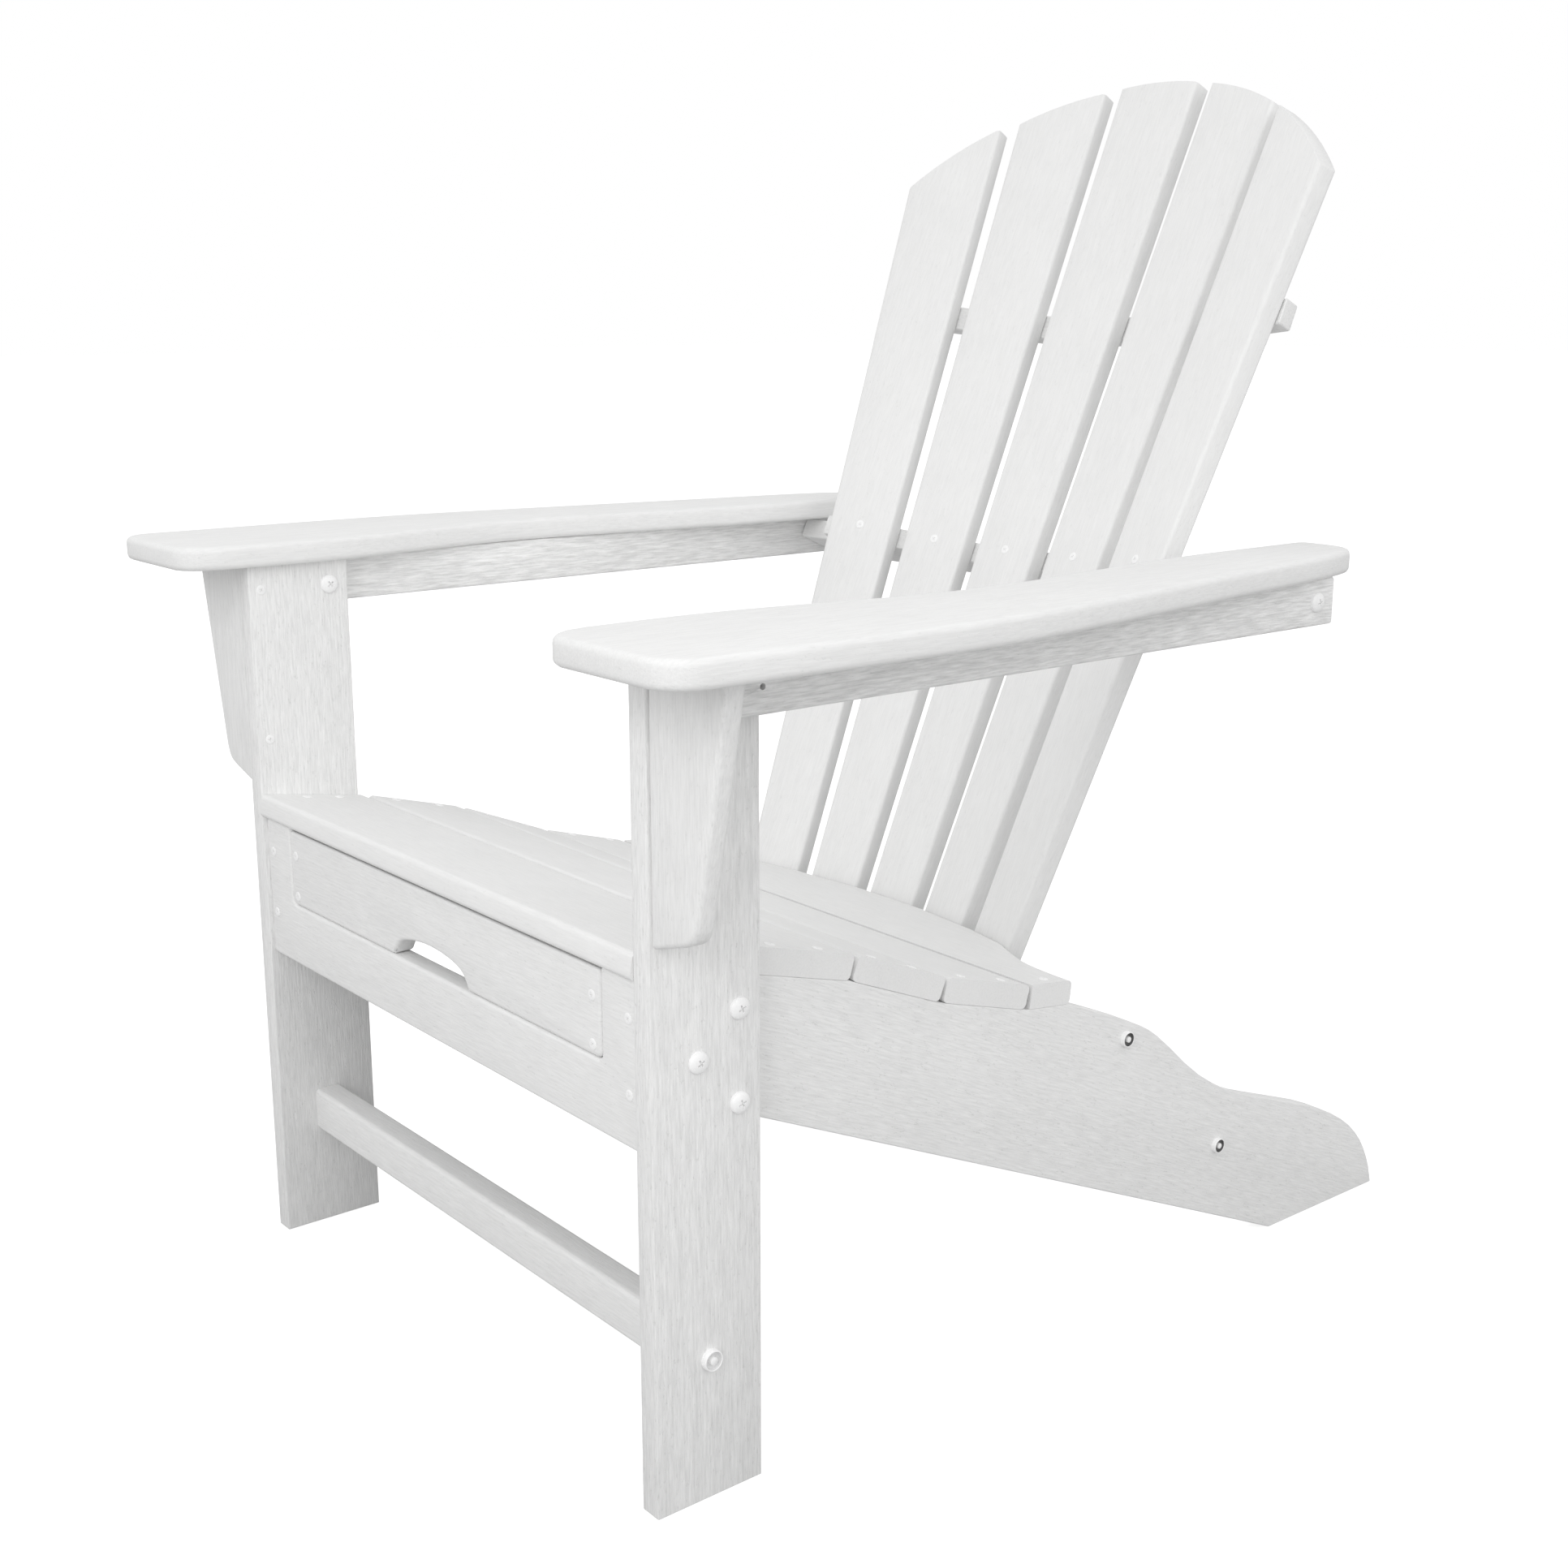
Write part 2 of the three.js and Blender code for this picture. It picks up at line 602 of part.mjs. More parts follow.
const inFrontOfRunner = block(-400, 400, -200, APRON_REAR + GAP, 0, 700);
const runnerStock = inSlide(block(RUNNER_OUT - RUNNER_THICK, RUNNER_OUT, -60, REST_LENGTH,
  runnerBottom, runnerTop));
const groove = inSlide(block(RUNNER_OUT - GROOVE_DEEP, RUNNER_OUT + 20, GUIDE_FRONT,
  REST_LENGTH + 20, grooveMiddle - GROOVE_TALL / 2, grooveMiddle + GROOVE_TALL / 2));
pair('footrest_runner', cut(runnerStock, inFrontOfRunner, groove));

for (let i = 0; i < REST_BOARDS; i += 1) {
  const along = REST_FIRST + i * REST_PITCH;
  row(`footrest_board_${i + 1}`, inSlide(
    block(-RUNNER_OUT, RUNNER_OUT, along, along + REST_WIDTH, -BOARD, 0),
  ));
}

const CATCH_WIDTH = 48;
const catchFront = REST_LENGTH - 2 - CATCH_WIDTH;
const catchHalf = RUNNER_OUT + 14;
const catchTop = runnerBottom - GAP;
row('footrest_rear_bar', inSlide(
  block(-catchHalf, catchHalf, catchFront, catchFront + CATCH_WIDTH, catchTop - BOARD, catchTop),
));

const panelHalf = openingHalf - RUN_GAP;
const panelBottom = openingBottom + RUN_GAP;
const HANDLE_HALF = 54;
const HANDLE_TALL = 20;
const handle = smooth([
  [HANDLE_HALF + 2, 0], [HANDLE_HALF - 2, 6.5], [HANDLE_HALF - 7, 11.5], [38, 15.5], [20, 18.8],
  [0, HANDLE_TALL], [-20, 18.8], [-38, 15.5], [-HANDLE_HALF + 7, 11.5], [-HANDLE_HALF + 2, 6.5],
  [-HANDLE_HALF - 2, 0],
], 24).map(([x, up]) => [x, panelBottom + up]);
const panelOutline = [
  ...handle.slice().reverse(),
  ...arc(panelHalf - OPENING_CORNER, panelBottom + OPENING_CORNER, OPENING_CORNER, -90, 0, 5),
  [panelHalf, 390],
  [-panelHalf, 390],
  ...arc(-panelHalf + OPENING_CORNER, panelBottom + OPENING_CORNER, OPENING_CORNER, 180, 270, 5),
];
const panelTop = inSlide(block(-400, 400, -200, 200, 0.3, 80));
row('footrest_front', cut(
  frontBoard(panelOutline, APRON_FRONT, APRON_REAR),
  panelTop,
));

// ---- guides on the stringers, and the blocks that end the travel ----------------------------

const GUIDE_TALL = GROOVE_TALL - 1;
const GUIDE_LENGTH = 290;
const guideIn = RUNNER_OUT - GROOVE_DEEP + RUN_GAP;
pair('slide_guide', inSlide(block(guideIn, STRINGER_IN - GAP, GUIDE_FRONT + RUN_GAP,
  GUIDE_FRONT + GUIDE_LENGTH, grooveMiddle - GUIDE_TALL / 2, grooveMiddle + GUIDE_TALL / 2)));

const stopRear = catchFront - TRAVEL - 0.5;
pair('slide_stop', inSlide(block(RUNNER_OUT + 2, STRINGER_IN - GAP, stopRear - 17, stopRear,
  catchTop - BOARD, catchTop - 1.2)));

// ---- bolts --------------------------------------------------------------------------------

for (const bolt of BOLTS) {
  pair(bolt.name, boltSolid(bolt), steel);
}

export default chair;
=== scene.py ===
# An adirondack chair of white plastic lumber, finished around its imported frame.
# Metres, +Z up, the chair faces -Y.

import json
import math

import bmesh
import bpy
from mathutils import Matrix, Vector


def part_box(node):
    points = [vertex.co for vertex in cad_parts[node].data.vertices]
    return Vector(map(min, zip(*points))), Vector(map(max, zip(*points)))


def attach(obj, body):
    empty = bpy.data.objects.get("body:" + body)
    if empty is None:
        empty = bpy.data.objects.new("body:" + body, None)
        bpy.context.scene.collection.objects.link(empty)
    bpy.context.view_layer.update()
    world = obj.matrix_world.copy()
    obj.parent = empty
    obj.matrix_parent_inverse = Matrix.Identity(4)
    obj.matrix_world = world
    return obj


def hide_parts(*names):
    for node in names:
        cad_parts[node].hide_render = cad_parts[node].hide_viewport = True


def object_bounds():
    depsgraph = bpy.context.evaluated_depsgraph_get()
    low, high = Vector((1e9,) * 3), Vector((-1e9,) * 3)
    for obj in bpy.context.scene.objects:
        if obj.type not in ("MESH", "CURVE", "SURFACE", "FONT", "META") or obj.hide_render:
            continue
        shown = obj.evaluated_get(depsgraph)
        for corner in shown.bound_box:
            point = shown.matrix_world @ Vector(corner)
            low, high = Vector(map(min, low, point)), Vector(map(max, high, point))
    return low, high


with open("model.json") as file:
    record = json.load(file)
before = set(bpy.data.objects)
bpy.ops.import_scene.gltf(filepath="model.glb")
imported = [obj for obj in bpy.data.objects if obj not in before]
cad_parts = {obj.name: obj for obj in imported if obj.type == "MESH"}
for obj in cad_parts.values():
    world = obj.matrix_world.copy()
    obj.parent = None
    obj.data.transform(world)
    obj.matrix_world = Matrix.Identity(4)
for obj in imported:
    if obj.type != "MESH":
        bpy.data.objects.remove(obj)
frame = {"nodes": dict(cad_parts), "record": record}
cad_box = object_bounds()
nodes = frame["nodes"]
body_of = {n: b for b, names in frame["record"]["behaviour"]["bodies"].items() for n in names}

MM = 0.001

# ---- light --------------------------------------------------------------------------------

ROOM_LIGHT = 0.87                # strength of the white room on the chair
FLOOR_TONE = 0.52
FLOOR_GLOW = 0.80                # seen only by the camera, so the floor fades out to white
# Name, place, what it aims at, width and power in watts.
SOFT_BOXES = [
    ("front", (1.1, -2.2, 1.6), (0, 0, 0.5), 1.4, 16),
    ("side", (2.5, -0.1, 1.4), (0, 0, 0.45), 1.4, 6.5),
]

# ---- camera -------------------------------------------------------------------------------

CAMERA_PLACE = (1.27254, -1.07439, 0.79988)
CAMERA_PITCH = 13.686            # degrees below level
CAMERA_TURN = 50.934             # degrees to the left of straight back
CAMERA_LENS = 45.964             # millimetres, on a sensor of SENSOR_WIDTH
CAMERA_SHIFT = 0.00347
SENSOR_WIDTH = 36.0

camera_data = bpy.data.cameras.new("camera")
camera_data.lens = CAMERA_LENS
camera_data.sensor_width = SENSOR_WIDTH
camera_data.shift_y = CAMERA_SHIFT
camera = bpy.data.objects.new("camera", camera_data)
camera.location = CAMERA_PLACE
camera.rotation_euler = (math.radians(90 - CAMERA_PITCH), 0, math.radians(CAMERA_TURN))
bpy.context.scene.collection.objects.link(camera)
bpy.context.scene.camera = camera


# ---- materials ----------------------------------------------------------------------------

def new_group(name, inputs, outputs):
    group = bpy.data.node_groups.new(name, "ShaderNodeTree")
    for label, kind, value in inputs:
        made = group.interface.new_socket(label, in_out="INPUT", socket_type=kind)
        if value is not None:
            made.default_value = value
    for label, kind in outputs:
        group.interface.new_socket(label, in_out="OUTPUT", socket_type=kind)
    return group


def add(tree, kind, **settings):
    node = tree.nodes.new(kind)
    for key, value in settings.items():
        setattr(node, key, value)
    return node


def link(tree, source, target):
    tree.links.new(source, target)


# Two numbers or sockets put through one operation.
def math_node(tree, operation, a, b):
    node = add(tree, "ShaderNodeMath", operation=operation)
    for socket, value in zip(node.inputs, (a, b)):
        if hasattr(value, "is_linked"):
            link(tree, value, socket)
        else:
            socket.default_value = value
    return node.outputs[0]


def noise(tree, vector, scale, detail, roughness):
    node = add(tree, "ShaderNodeTexNoise")
    node.inputs["Scale"].default_value = scale
    node.inputs["Detail"].default_value = detail
    node.inputs["Roughness"].default_value = roughness
    link(tree, vector, node.inputs["Vector"])
    return node.outputs["Fac"]


# The same vector with its X drawn out, by a scale under 1.
def stretched(tree, vector, scale):
    node = add(tree, "ShaderNodeMapping")
    node.inputs["Scale"].default_value = (scale, 1, 1)
    link(tree, vector, node.inputs["Vector"])
    return node.outputs["Vector"]


def remap(tree, value, low, high, to_low=0.0, to_high=1.0):
    node = add(tree, "ShaderNodeMapRange")
    link(tree, value, node.inputs["Value"])
    for label, number in (("From Min", low), ("From Max", high),
                          ("To Min", to_low), ("To Max", to_high)):
        node.inputs[label].default_value = number
    return node.outputs["Result"]


# The grain's noises, per metre, and how much each of them tones the white down or up.
FINE_STREAKS, BROAD_STREAKS, FLECKS, BLOTCHES = 640, 150, 520, 24
FINE_SHARE, BROAD_SHARE = 0.86, 0.14
STREAK_TONE, BLOTCH_TONE, PIT_TONE = 0.22, 0.05, 0.07
STREAK_STRETCH, FLECK_STRETCH = 0.08, 0.4
PIT_FROM, PIT_FULL, PIT_DEPTH = 0.63, 0.72, 0.9
SMOOTHEST, STREAK_ROUGHNESS = 0.52, 0.16


# Brushed grain: fine streaks along the group's own X, small pits, and soft blotches.
def brushed_grain():
    group = new_group(
        "brushed_grain",
        [("Vector", "NodeSocketVector", None), ("Color", "NodeSocketColor", (0.9, 0.9, 0.9, 1)),
         ("Streaks", "NodeSocketFloat", 1.0), ("Pits", "NodeSocketFloat", 1.0)],
        [("Color", "NodeSocketColor"), ("Roughness", "NodeSocketFloat"),
         ("Height", "NodeSocketFloat")],
    )
    source = add(group, "NodeGroupInput")
    target = add(group, "NodeGroupOutput")
    long_streaks = stretched(group, source.outputs["Vector"], STREAK_STRETCH)
    short_flecks = stretched(group, source.outputs["Vector"], FLECK_STRETCH)
    fine = noise(group, long_streaks, FINE_STREAKS, 3, 0.65)
    broad = noise(group, long_streaks, BROAD_STREAKS, 2, 0.5)
    flecks = noise(group, short_flecks, FLECKS, 2, 0.6)
    blotches = noise(group, source.outputs["Vector"], BLOTCHES, 3, 0.55)
    streaks = math_node(group, "ADD", math_node(group, "MULTIPLY", fine, FINE_SHARE),
                        math_node(group, "MULTIPLY", broad, BROAD_SHARE))
    pits = remap(group, flecks, PIT_FROM, PIT_FULL)
    pits = math_node(group, "MULTIPLY", pits, source.outputs["Pits"])

    shade = math_node(group, "MULTIPLY", math_node(group, "SUBTRACT", streaks, 0.5),
                      source.outputs["Streaks"])
    tone = math_node(group, "ADD", 1.0, math_node(group, "MULTIPLY", shade, STREAK_TONE))
    blotch = math_node(group, "SUBTRACT", blotches, 0.5)
    tone = math_node(group, "ADD", tone, math_node(group, "MULTIPLY", blotch, BLOTCH_TONE))
    tone = math_node(group, "SUBTRACT", tone, math_node(group, "MULTIPLY", pits, PIT_TONE))
    colour = add(group, "ShaderNodeVectorMath", operation="SCALE")
    link(group, source.outputs["Color"], colour.inputs[0])
    link(group, tone, colour.inputs["Scale"])
    link(group, colour.outputs["Vector"], target.inputs["Color"])

    rough = math_node(group, "MULTIPLY", streaks, STREAK_ROUGHNESS)
    rough = math_node(group, "ADD", SMOOTHEST, rough)
    link(group, rough, target.inputs["Roughness"])
    height = math_node(group, "MULTIPLY", streaks, source.outputs["Streaks"])
    height = math_node(group, "SUBTRACT", height, math_node(group, "MULTIPLY", pits, PIT_DEPTH))
    link(group, height, target.inputs["Height"])
    return group


# Height from a socket, pressed into a shader's surface.
def add_bump(tree, shader, height, strength, distance):
    bump = add(tree, "ShaderNodeBump")
    bump.inputs["Strength"].default_value = strength
    bump.inputs["Distance"].default_value = distance
    link(tree, height, bump.inputs["Height"])
    link(tree, bump.outputs["Normal"], shader.inputs["Normal"])


GRAIN = brushed_grain()
WHITE = (0.85, 0.85, 0.846, 1)


# White lumber whose grain runs along a direction, given as an XYZ turn in degrees that takes it
# onto the X axis.
def lumber(name, turn, streaks, pits):
    material = bpy.data.materials.new(name)
    material.use_nodes = True
    tree = material.node_tree
    shader = tree.nodes["Principled BSDF"]
    place = add(tree, "ShaderNodeTexCoord")
    mapping = add(tree, "ShaderNodeMapping")
    mapping.inputs["Rotation"].default_value = [math.radians(a) for a in turn]
    link(tree, place.outputs["Object"], mapping.inputs["Vector"])
    grain = add(tree, "ShaderNodeGroup", node_tree=GRAIN)
    grain.inputs["Color"].default_value = WHITE
    grain.inputs["Streaks"].default_value = streaks
    grain.inputs["Pits"].default_value = pits
    link(tree, mapping.outputs["Vector"], grain.inputs["Vector"])
    link(tree, grain.outputs["Color"], shader.inputs["Base Color"])
    link(tree, grain.outputs["Roughness"], shader.inputs["Roughness"])
    add_bump(tree, shader, grain.outputs["Height"], 0.4, 0.5 * MM)
    shader.inputs["Specular IOR Level"].default_value = 0.3
    return material


STRINGER_SLOPE = 24.15           # degrees
BACK_LEAN = 24.0
SLIDE_SLOPE = 16.0
SEAT_GRAIN = lumber("lumber_grain_seat", (0, 0, 0), 0.8, 0.6)
FRONT_GRAIN = lumber("lumber_grain_front", (0, 0, 0), 1.3, 1.0)
LEG_GRAIN = lumber("lumber_grain_leg", (0, 90, 0), 2.6, 1.2)
CORBEL_GRAIN = lumber("lumber_grain_corbel", (0, 90, 0), 1.6, 0.9)
RAIL_GRAIN = lumber("lumber_grain_rail", (0, 0, -90), 4.5, 1.0)
ARM_GRAIN = lumber("lumber_grain_arm", (0, 0, -90), 1.1, 0.6)
STRINGER_GRAIN = lumber("lumber_grain_stringer", (STRINGER_SLOPE, 0, -90), 2.0, 1.2)
RUNNER_GRAIN = lumber("lumber_grain_runner", (SLIDE_SLOPE, 0, -90), 1.5, 1.0)
BACK_GRAIN = lumber("lumber_grain_back", (BACK_LEAN, 90, 0), 0.8, 0.6)


# White paint over steel with a little texture from the paint. Where a bolt's faces carry the
# recess attribute, painted shade darkens the white and stands in for the shadow deep in a
# sleeve's recess.
def painted_steel():
    material = bpy.data.materials.new("white_painted_steel")
    material.use_nodes = True
    tree = material.node_tree
    shader = tree.nodes["Principled BSDF"]
    place = add(tree, "ShaderNodeTexCoord")
    speckle = noise(tree, place.outputs["Object"], 900, 2, 0.5)
    tone = remap(tree, speckle, 0.3, 0.7, 0.93, 0.97)
    # Painted shade: the recess attribute darkens the colour where a recess lies in shadow.
    painted_recess_shade = add(tree, "ShaderNodeAttribute", attribute_type="GEOMETRY",
                 attribute_name="painted_recess_shade")
    painted_shading = math_node(tree, "SUBTRACT", 1.0, painted_recess_shade.outputs["Fac"])
    tone = math_node(tree, "MULTIPLY", tone, painted_shading)
    colour = add(tree, "ShaderNodeCombineColor")
    for channel in ("Red", "Green", "Blue"):
        link(tree, tone, colour.inputs[channel])
    link(tree, colour.outputs["Color"], shader.inputs["Base Color"])
    rough = remap(tree, speckle, 0.3, 0.7, 0.30, 0.42)
    link(tree, rough, shader.inputs["Roughness"])
    add_bump(tree, shader, speckle, 0.2, 0.1 * MM)
    return material


STEEL = painted_steel()


# ---- boards -------------------------------------------------------------------------------

def nothing_selected():
    bpy.ops.object.select_all(action="DESELECT")


def only(piece):
    nothing_selected()
    piece.select_set(True)
    bpy.context.view_layer.objects.active = piece


def apply_all(piece):
    only(piece)
    for modifier in list(piece.modifiers):
        bpy.ops.object.modifier_apply(modifier=modifier.name)


# The edges round a bolt hole's rim are shorter than anything else on a board.
RIM_EDGE = 1.6 * MM
SAME_PLACE = 0.02 * MM
FLAT = math.radians(0.3)
SHARP = math.radians(28)
SMOOTH = math.radians(35)


# A board's own solid, joined up, with its bolt holes closed because the bolts fill them.
def joined_copy(node):
    mesh = nodes[node].data.copy()
    piece = bpy.data.objects.new(node + "_board", mesh)
    bpy.context.scene.collection.objects.link(piece)
    only(piece)
    bpy.ops.object.mode_set(mode="EDIT")
    bpy.ops.mesh.select_all(action="SELECT")
    bpy.ops.mesh.remove_doubles(threshold=SAME_PLACE)
    bpy.ops.mesh.select_mode(type="VERT")
    bpy.ops.mesh.select_all(action="DESELECT")
    shape = bmesh.from_edit_mesh(mesh)
    rims = [v for v in shape.verts
            if sum(1 for e in v.link_edges if e.calc_length() < RIM_EDGE) >= 2]
    for vertex in rims:
        vertex.select = True
    bmesh.update_edit_mesh(mesh)
    if rims:
        bpy.ops.mesh.delete(type="VERT")
        bpy.ops.mesh.select_all(action="SELECT")
        bpy.ops.mesh.fill_holes(sides=0)
    bpy.ops.mesh.select_all(action="SELECT")
    bpy.ops.mesh.dissolve_limited(angle_limit=FLAT, use_dissolve_boundaries=False)
    bpy.ops.object.mode_set(mode="OBJECT")
    return piece


# Rounds the sharp edges of a board: those along a direction, those that a test picks, or all.
def round_edges(piece, radius, along=None, where=None, segments=5):
    mesh = piece.data
    shape = bmesh.new()
    shape.from_mesh(mesh)
    weight = shape.edges.layers.float.get("bevel_weight_edge")
    if weight is None:
        weight = shape.edges.layers.float.new("bevel_weight_edge")
    for edge in shape.edges:
        edge[weight] = 0.0
        if len(edge.link_faces) != 2 or edge.calc_face_angle(0) < SHARP:
            continue
        line = edge.verts[1].co - edge.verts[0].co
        if line.length < 1e-6:
            continue
        if along is not None and abs(line.normalized().dot(along)) < 0.8:
            continue
        if where is not None and not where(edge):
            continue
        edge[weight] = 1.0
    shape.to_mesh(mesh)
    shape.free()
    rounding = piece.modifiers.new("rounding", "BEVEL")
    rounding.limit_method = "WEIGHT"
    rounding.width = radius
    rounding.segments = segments
    rounding.use_clamp_overlap = False
    rounding.miter_outer = "MITER_ARC"
    apply_all(piece)


X, Y, Z = Vector((1, 0, 0)), Vector((0, 1, 0)), Vector((0, 0, 1))
UP_THE_BACK = Vector((0, math.sin(math.radians(BACK_LEAN)), math.cos(math.radians(BACK_LEAN))))
boards = {}


# A board with well rounded edges and, where its other edges are eased, a finer rounding of those.
def board(node, material, radius, along=None, where=None, eased=0.0):
    piece = joined_copy(node)
    round_edges(piece, radius, along, where)
    if eased:
        round_edges(piece, eased, segments=2)
    only(piece)
    bpy.ops.object.shade_smooth_by_angle(angle=SMOOTH)
    piece.data.materials.clear()
    piece.data.materials.append(material)
    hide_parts(node)
    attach(piece, body_of[node])
    boards[node] = piece


def pair_of(name):
    return [name + "_left", name + "_right"]


SEAT_END = 271 * MM
LEG_MIDDLE = -420 * MM


# The cut ends of the last seat board stay sharp.
def off_the_end(edge):
    return not all(abs(v.co.x) > SEAT_END for v in edge.verts)


# Only the front edges of a leg are well rounded.
def at_the_front(edge):
    return all(v.co.y < LEG_MIDDLE for v in edge.verts)


for node in pair_of("front_leg"):
    board(node, LEG_GRAIN, 4.2 * MM, Z, at_the_front, eased=0.8 * MM)
for node in pair_of("side_stringer"):
    board(node, STRINGER_GRAIN, 1.2 * MM)
for node in pair_of("arm_rail"):
    board(node, RAIL_GRAIN, 2.5 * MM)
for node in pair_of("armrest"):
    board(node, ARM_GRAIN, 5 * MM)
for node in pair_of("corbel"):
    board(node, CORBEL_GRAIN, 4.2 * MM)
for name in ("front_apron", "footrest_front"):
    board(name, FRONT_GRAIN, 3 * MM)
for name in ("front_stretcher", "rear_brace", "footrest_rear_bar"):
    board(name, FRONT_GRAIN, 4 * MM, X)
for i in range(1, 5):
    board("seat_board_%d" % i, SEAT_GRAIN, 4.2 * MM, X)
    board("footrest_board_%d" % i, SEAT_GRAIN, 4.2 * MM, X)
board("seat_board_5", SEAT_GRAIN, 4.2 * MM, where=off_the_end)
for name in ("back_support_bottom", "back_support_middle", "back_support_top"):
    board(name, FRONT_GRAIN, 1.6 * MM)
for node in ["back_board_centre"] + pair_of("back_board_inner") + pair_of("back_board_outer"):
    board(node, BACK_GRAIN, 3.4 * MM, UP_THE_BACK, eased=0.6 * MM)
for node in pair_of("footrest_runner") + pair_of("slide_guide") + pair_of("slide_stop"):
    board(node, RUNNER_GRAIN, 1.5 * MM)



# Cuts solid tools out of a piece and does away with them.
def cut_away(piece, tools):
    for tool in tools:
        cut = piece.modifiers.new("cut", "BOOLEAN")
        cut.operation = "DIFFERENCE"
        cut.solver = "EXACT"
        cut.object = tool
    apply_all(piece)
    for tool in tools:
        bpy.data.objects.remove(tool)


POCKET_RADIUS = 2.2 * MM
POCKET_DEEP = 12 * MM
POCKET_PLACE = (-321.8 * MM, 570.2 * MM)


# A small blind pocket in the outer face of an arm rail, just behind the leg.
def bore_pocket(rail, outer_face):
    nothing_selected()
    bpy.ops.mesh.primitive_cylinder_add(
        vertices=24, radius=POCKET_RADIUS, depth=2 * POCKET_DEEP,
        location=(outer_face, *POCKET_PLACE), rotation=(0, math.radians(90), 0))
    drill = bpy.context.object
    bpy.ops.object.transform_apply(location=True, rotation=True, scale=True)
    cut_away(rail, [drill])
    bpy.ops.object.shade_smooth_by_angle(angle=SMOOTH)


bore_pocket(boards["arm_rail_left"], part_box("arm_rail_left")[1][0])
bore_pocket(boards["arm_rail_right"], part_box("arm_rail_right")[0][0])


# ---- bolts and screws ----------------------------------------------------------------------

# A round blank standing on z = 0, ready in edit mode with its top face selected.
def round_blank(name, radius, tall, sides=40):
    nothing_selected()
    bpy.ops.mesh.primitive_cylinder_add(vertices=sides, radius=radius, depth=tall,
                                        location=(0, 0, tall / 2))
    piece = bpy.context.object
    piece.name = name
    bpy.ops.object.transform_apply(location=True, rotation=True, scale=True)
    select_level(piece, tall)
    return piece


# In edit mode, with only the faces at a height selected.
def select_level(piece, height):
    if bpy.context.mode != "EDIT_MESH":
        bpy.ops.object.mode_set(mode="EDIT")
    bpy.ops.mesh.select_mode(type="FACE")
    bpy.ops.mesh.select_all(action="DESELECT")
    shape = bmesh.from_edit_mesh(piece.data)
    for face in shape.faces:
        if all(abs(v.co.z - height) < 1e-6 for v in face.verts):
            face.select = True
    bmesh.update_edit_mesh(piece.data)


def pull(distance, narrower):
    bpy.ops.mesh.extrude_region_move(TRANSFORM_OT_translate={"value": (0, 0, distance)})
    bpy.ops.transform.resize(value=(narrower, narrower, 1))


# Cuts a cross slot, narrower at its bottom, into a head that stands on z = 0.
def cut_cross(piece, top, long_way, wide, deep):
    bpy.ops.object.mode_set(mode="OBJECT")
    blades = []
    for size in ((long_way, wide), (wide, long_way)):
        nothing_selected()
        bpy.ops.mesh.primitive_cube_add(size=1, location=(0, 0, top))
        blade = bpy.context.object
        blade.scale = (size[0], size[1], 2 * deep)
        bpy.ops.object.transform_apply(location=True, rotation=True, scale=True)
        bpy.ops.object.mode_set(mode="EDIT")
        bpy.ops.mesh.select_mode(type="FACE")
        bpy.ops.mesh.select_all(action="DESELECT")
        shape = bmesh.from_edit_mesh(blade.data)
        for face in shape.faces:
            face.select = face.normal.z < -0.9
        bmesh.update_edit_mesh(blade.data)
        bpy.ops.transform.resize(value=(0.7, 0.7, 1))
        bpy.ops.object.mode_set(mode="OBJECT")
        blades.append(blade)
    cut_away(piece, blades)


HEAD_RADIUS = 7.7 * MM
HEAD_TALL = 4.2 * MM
HEAD_RIM = 1.2 * MM
DOME_STEPS = 8
SLEEVE_TALL = 4.6 * MM
SCREW_RADIUS = 4.0 * MM
SHANK_RADIUS = 3.2 * MM
SHANK_END = -34 * MM


# Adds the shank under a head that stands on z = 0.
def add_shank(piece):
    select_level(piece, 0)
    bpy.ops.mesh.inset(thickness=HEAD_RADIUS - SHANK_RADIUS)
    bpy.ops.mesh.extrude_region_move(TRANSFORM_OT_translate={"value": (0, 0, SHANK_END)})


# A bolt with a broad low dome and a cross slot.
def cross_bolt():
    piece = round_blank("cross_bolt", HEAD_RADIUS, HEAD_RIM)
    last_radius, last_height = HEAD_RADIUS, HEAD_RIM
    for i in range(1, DOME_STEPS):
        angle = math.radians(90 * i / DOME_STEPS)
        radius = HEAD_RADIUS * math.cos(angle)
        height = HEAD_RIM + (HEAD_TALL - HEAD_RIM) * math.sin(angle)
        pull(height - last_height, radius / last_radius)
        last_radius, last_height = radius, height
    add_shank(piece)
    cut_cross(piece, HEAD_TALL - 0.1 * MM, 7.4 * MM, 1.7 * MM, 1.9 * MM)
    return piece


# A round sleeve: its rounded rim, the recess inside it, and the end of its bolt in the recess.
def sleeve_bolt():
    piece = round_blank("sleeve_bolt", HEAD_RADIUS, SLEEVE_TALL - 0.9 * MM)
    pull(0.6 * MM, 0.97)
    pull(0.3 * MM, 0.96)
    bpy.ops.mesh.inset(thickness=0.4 * MM)
    pull(-0.4 * MM, 0.97)
    pull(-2.3 * MM, 0.94)
    bpy.ops.mesh.inset(thickness=3.1 * MM)
    pull(2.5 * MM, 0.92)
    pull(0.4 * MM, 0.7)
    add_shank(piece)
    bpy.ops.object.mode_set(mode="OBJECT")
    return piece


# A small flat head set almost flush, with a cross slot.
def board_screw():
    piece = round_blank("board_screw", SCREW_RADIUS, 0.35 * MM, 28)
    pull(0.25 * MM, 0.90)
    pull(0.10 * MM, 0.75)
    select_level(piece, 0)
    pull(-1.6 * MM, 0.62)
    cut_cross(piece, 0.7 * MM, 4.2 * MM, 0.95 * MM, 0.75 * MM)
    return piece
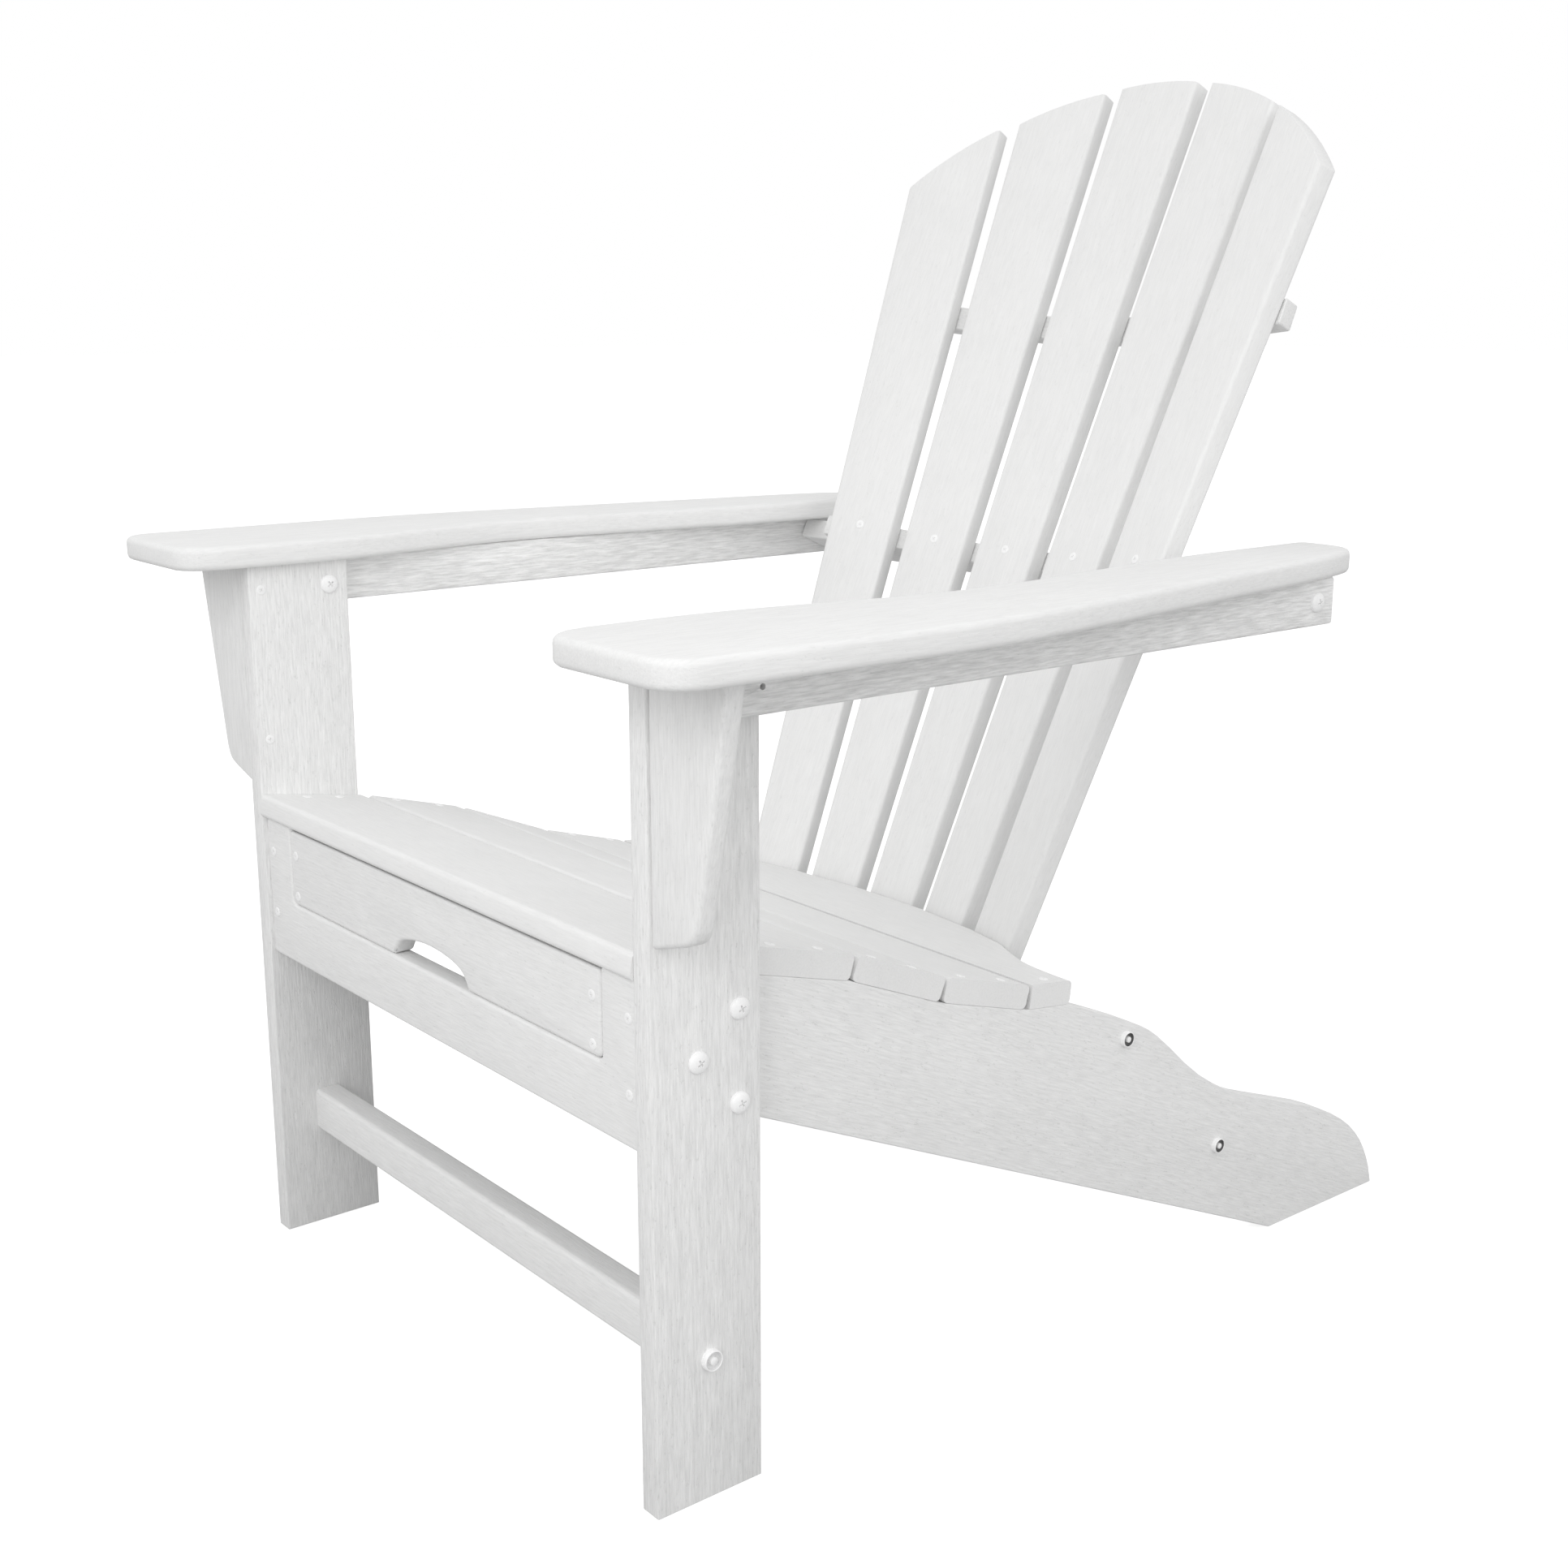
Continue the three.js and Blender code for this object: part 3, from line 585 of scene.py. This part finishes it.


# Marks the floor and the wall of a sleeve's recess with painted shade, by how dark that shade is.
def paint_recess_shade(mesh, painted_shading):
    painted_recess_shade = mesh.attributes.new("painted_recess_shade", "FLOAT", "FACE")
    for face in mesh.polygons:
        from_axis = math.hypot(face.center.x, face.center.y)
        inside = 3.5 * MM < from_axis < 6.5 * MM and 1.8 * MM < face.center.z < 3.3 * MM
        painted_recess_shade.data[face.index].value = painted_shading if inside else 0.0


# A copy with its own mesh, its head facing a direction from a place on a surface. Its spin is in
# degrees, and a reach sets how far its shank goes in.
def set_in(model, name, place, facing, spin, size=1.0, reach=None, body="chair", painted_shading=0.0):
    piece = bpy.data.objects.new(name, model.data.copy())
    bpy.context.scene.collection.objects.link(piece)
    # Painted shade in the sleeve's recess, standing in for its shadow there.
    if painted_shading:
        paint_recess_shade(piece.data, painted_shading)
    if reach is not None:
        for vertex in piece.data.vertices:
            if abs(vertex.co.z - SHANK_END) < 1e-5:
                vertex.co.z = -reach / size
    turn = facing.to_track_quat("Z", "Y").to_matrix().to_4x4()
    piece.data.transform(Matrix.Translation(place) @ turn
                         @ Matrix.Rotation(math.radians(spin), 4, "Z")
                         @ Matrix.Diagonal((size, size, size, 1)))
    only(piece)
    bpy.ops.object.shade_smooth_by_angle(angle=math.radians(32))
    piece.data.materials.clear()
    piece.data.materials.append(STEEL)
    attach(piece, body)
    return piece


CROSS_BOLT = cross_bolt()
SLEEVE_BOLT = sleeve_bolt()
BOARD_SCREW = board_screw()

# Node, model, size, spin, and how dark the painted shade in the recess is.
BOLT_KINDS = [
    ("leg_bolt_upper", CROSS_BOLT, 1.0, 24, 0), ("leg_bolt_middle", CROSS_BOLT, 1.0, 31, 0),
    ("leg_bolt_lower", CROSS_BOLT, 1.0, 20, 0), ("rail_bolt_front", CROSS_BOLT, 1.0, 40, 0),
    ("rail_bolt_rear", CROSS_BOLT, 1.0, 15, 0), ("stretcher_bolt", SLEEVE_BOLT, 1.0, 0, 0.15),
    ("back_bolt", SLEEVE_BOLT, 0.84, 0, 0.86), ("brace_bolt", SLEEVE_BOLT, 0.84, 0, 0.86),
]
for kind, model, size, spin, painted_shading in BOLT_KINDS:
    for node in pair_of(kind):
        low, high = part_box(node)
        side = 1 if node.endswith("_left") else -1
        outward = -side if kind == "rail_bolt_front" else side
        top = high[0] if outward > 0 else low[0]
        face = top - outward * HEAD_TALL
        reach = high[0] - low[0] - HEAD_TALL
        place = Vector((face, (low[1] + high[1]) / 2, (low[2] + high[2]) / 2))
        bolt = set_in(model, node + "_head", place, Vector((outward, 0, 0)), spin, size, reach,
                      painted_shading=painted_shading)
        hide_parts(node)


# Screws are placed in millimetres, rows from the front of the legs, and each one is driven along
# a line that starts well clear of the chair.
ROW_SHIFT = -386.0               # from the front of the legs to the middle of the chair
ABOVE = 600
AHEAD = -600


# Where a line from a place towards a direction first meets a board: (place, outward normal).
def meets(node, place, towards):
    hit, where, normal, _ = boards[node].ray_cast(place, towards)
    if not hit:
        raise RuntimeError("no face of " + node + " there")
    return where, normal


def screw(name, node, start, towards, spin):
    where, normal = meets(node, Vector(start) * MM, towards)
    set_in(BOARD_SCREW, name, where, normal, spin, body=body_of[node])


bpy.context.view_layer.update()
# Which seat board, and how far back.
SEAT_SCREWS = [(1, 36), (1, 66), (2, 120), (2, 162), (3, 212), (3, 251.5), (4, 301), (4, 343),
               (5, 390)]
for side, label in ((1, "left"), (-1, "right")):
    for count, (number, y) in enumerate(SEAT_SCREWS, 1):
        screw("seat_screw_%d_%s" % (count, label), "seat_board_%d" % number,
              (side * 261, y + ROW_SHIFT, ABOVE), -Z, 37 * count)
    for count, z in enumerate((350, 297), 1):
        screw("apron_screw_%d_%s" % (count, label), "front_apron",
              (side * 261, AHEAD, z), Y, 50 * count)
    for count, z in enumerate((354.8, 320.1), 1):
        screw("footrest_screw_%d_%s" % (count, label), "footrest_front",
              (side * 219, AHEAD, z), Y, 25 * count)
    for count, (y, z) in enumerate(((10.6, 569.4), (10.8, 443.7)), 1):
        screw("corbel_screw_%d_%s" % (count, label), "front_leg_" + label,
              (side * 200, y + ROW_SHIFT, z), side * X, 20 + 30 * count)
for node, x, z in (("back_board_centre", 0, 583.5), ("back_board_inner_left", 87.2, 585.8),
                   ("back_board_inner_right", -87.2, 585.8),
                   ("back_board_outer_left", 172.5, 593.3),
                   ("back_board_outer_right", -172.5, 593.3)):
    screw(node.replace("board", "screw"), node, (x, AHEAD, z), Y, 45 + x)
for model in (CROSS_BOLT, SLEEVE_BOLT, BOARD_SCREW):
    bpy.data.objects.remove(model)


# ---- floor and light -----------------------------------------------------------------------

FLOOR_WIDTH = 60


def pale_floor():
    nothing_selected()
    bpy.ops.mesh.primitive_plane_add(size=FLOOR_WIDTH)
    floor = bpy.context.object
    floor.name = "floor"
    material = bpy.data.materials.new("pale_floor")
    material.use_nodes = True
    tree = material.node_tree
    shader = tree.nodes["Principled BSDF"]
    shader.inputs["Base Color"].default_value = (FLOOR_TONE, FLOOR_TONE, FLOOR_TONE, 1)
    shader.inputs["Roughness"].default_value = 0.95
    shader.inputs["Specular IOR Level"].default_value = 0.0
    shader.inputs["Emission Color"].default_value = (1, 1, 1, 1)
    direct = add(tree, "ShaderNodeLightPath").outputs["Is Camera Ray"]
    link(tree, remap(tree, direct, 0, 1, 0, FLOOR_GLOW), shader.inputs["Emission Strength"])
    floor.data.materials.append(material)


# A white room that lights the chair a little less than the camera sees it.
def white_room():
    world = bpy.data.worlds.new("studio")
    bpy.context.scene.world = world
    world.use_nodes = True
    tree = world.node_tree
    background = tree.nodes["Background"]
    background.inputs["Color"].default_value = (1, 1, 1, 1)
    direct = add(tree, "ShaderNodeLightPath").outputs["Is Camera Ray"]
    link(tree, remap(tree, direct, 0, 1, ROOM_LIGHT, 1), background.inputs["Strength"])


def soft_box(name, place, aim, wide, power):
    light = bpy.data.lights.new(name, "AREA")
    light.shape = "SQUARE"
    light.size = wide
    light.energy = power
    lamp = bpy.data.objects.new(name, light)
    lamp.location = place
    lamp.rotation_euler = (Vector(aim) - Vector(place)).to_track_quat("-Z", "Y").to_euler()
    bpy.context.scene.collection.objects.link(lamp)


pale_floor()
white_room()
for name, place, aim, wide, power in SOFT_BOXES:
    soft_box(name, place, aim, wide, power)
bpy.context.scene.view_settings.view_transform = "Standard"

low, high = cad_box
